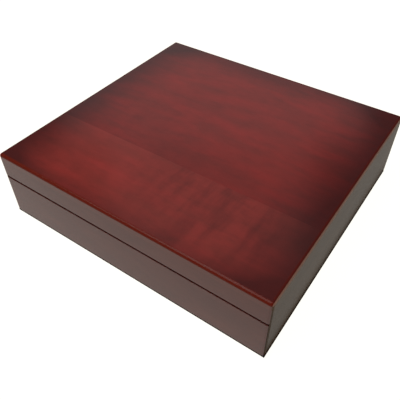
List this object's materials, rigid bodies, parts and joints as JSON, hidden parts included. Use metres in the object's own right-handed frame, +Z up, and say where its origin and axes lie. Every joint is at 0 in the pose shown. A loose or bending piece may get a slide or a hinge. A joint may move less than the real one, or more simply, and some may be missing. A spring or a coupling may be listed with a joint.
{
  "type": "coin display tray",
  "caption": "Low lacquered wooden box with a handleless slide-out drawer that carries a lift-out, velvet-lined tray of square coin compartments.",
  "frame": {"origin": "centre of the closed box's footprint, at the level it stands on", "axes": "+Z up, the drawer's front panel faces -Y and opens along -Y, +X to the right of someone who faces the front panel"},
  "size_m": [0.316, 0.3, 0.08],
  "materials": {
    "red_lacquer_wood": "gloss lacquer over red-brown stained hardwood",
    "case_floor_wood": "satin plywood",
    "waxed_maple": "waxed",
    "drawer_wood": "satin lacquer",
    "dowel_wood": "plain",
    "tray_wood": "satin red-brown lacquer",
    "velvet": "short pile velvet",
    "pad_rubber": "matt",
    "magnet_steel": "nickel plated",
    "strike_steel": "brushed",
    "screw_steel": "zinc plated",
    "knob_brass": "polished"
  },
  "bodies": {
    "case": {"case_back": "red_lacquer_wood", "case_floor": "case_floor_wood", "case_side_left": "red_lacquer_wood", "case_side_right": "red_lacquer_wood", "catch_block_left": "waxed_maple", "catch_block_right": "waxed_maple", "catch_magnet_left": "magnet_steel", "catch_magnet_right": "magnet_steel", "floor_screws": "screw_steel", "foot_pad_front_left": "pad_rubber", "foot_pad_front_right": "pad_rubber", "foot_pad_rear_left": "pad_rubber", "foot_pad_rear_right": "pad_rubber", "glide_strip_left": "waxed_maple", "glide_strip_right": "waxed_maple", "kicker_left": "waxed_maple", "kicker_right": "waxed_maple", "rear_corner_block_left": "waxed_maple", "rear_corner_block_right": "waxed_maple", "stop_block_left": "waxed_maple", "stop_block_right": "waxed_maple", "top_front_board": "red_lacquer_wood", "top_rear_board": "red_lacquer_wood", "upper_rail": "red_lacquer_wood"},
    "drawer": {"bin_lining": "velvet", "bin_wall": "drawer_wood", "corner_dowels": "dowel_wood", "drawer_back": "drawer_wood", "drawer_bottom": "drawer_wood", "drawer_inner_front": "drawer_wood", "drawer_side_left": "drawer_wood", "drawer_side_right": "drawer_wood", "front_panel": "red_lacquer_wood", "front_screws": "screw_steel", "stop_lug_left": "drawer_wood", "stop_lug_right": "drawer_wood", "storage_lining": "velvet", "strike_disc_left": "strike_steel", "strike_disc_right": "strike_steel", "strike_screws": "screw_steel", "tray_ledger_left": "drawer_wood", "tray_ledger_right": "drawer_wood"},
    "tray": {"cross_divider_1": "tray_wood", "cross_divider_2": "tray_wood", "cross_divider_3": "tray_wood", "lift_knob_left": "knob_brass", "lift_knob_right": "knob_brass", "long_divider_1": "tray_wood", "long_divider_2": "tray_wood", "long_divider_3": "tray_wood", "long_divider_4": "tray_wood", "tray_base": "tray_wood", "tray_lining": "velvet", "tray_rim_front": "tray_wood", "tray_rim_left": "tray_wood", "tray_rim_rear": "tray_wood", "tray_rim_right": "tray_wood"}
  },
  "joints": [
    {"name": "drawer_slide", "type": "slide", "parent": "case", "child": "drawer", "axis": [0, -1, 0], "range_m": [0, 0.25]},
    {"name": "tray_lift", "type": "slide", "parent": "drawer", "child": "tray", "axis": [0, 0, 1], "range_m": [0, 0.022]}
  ]
}
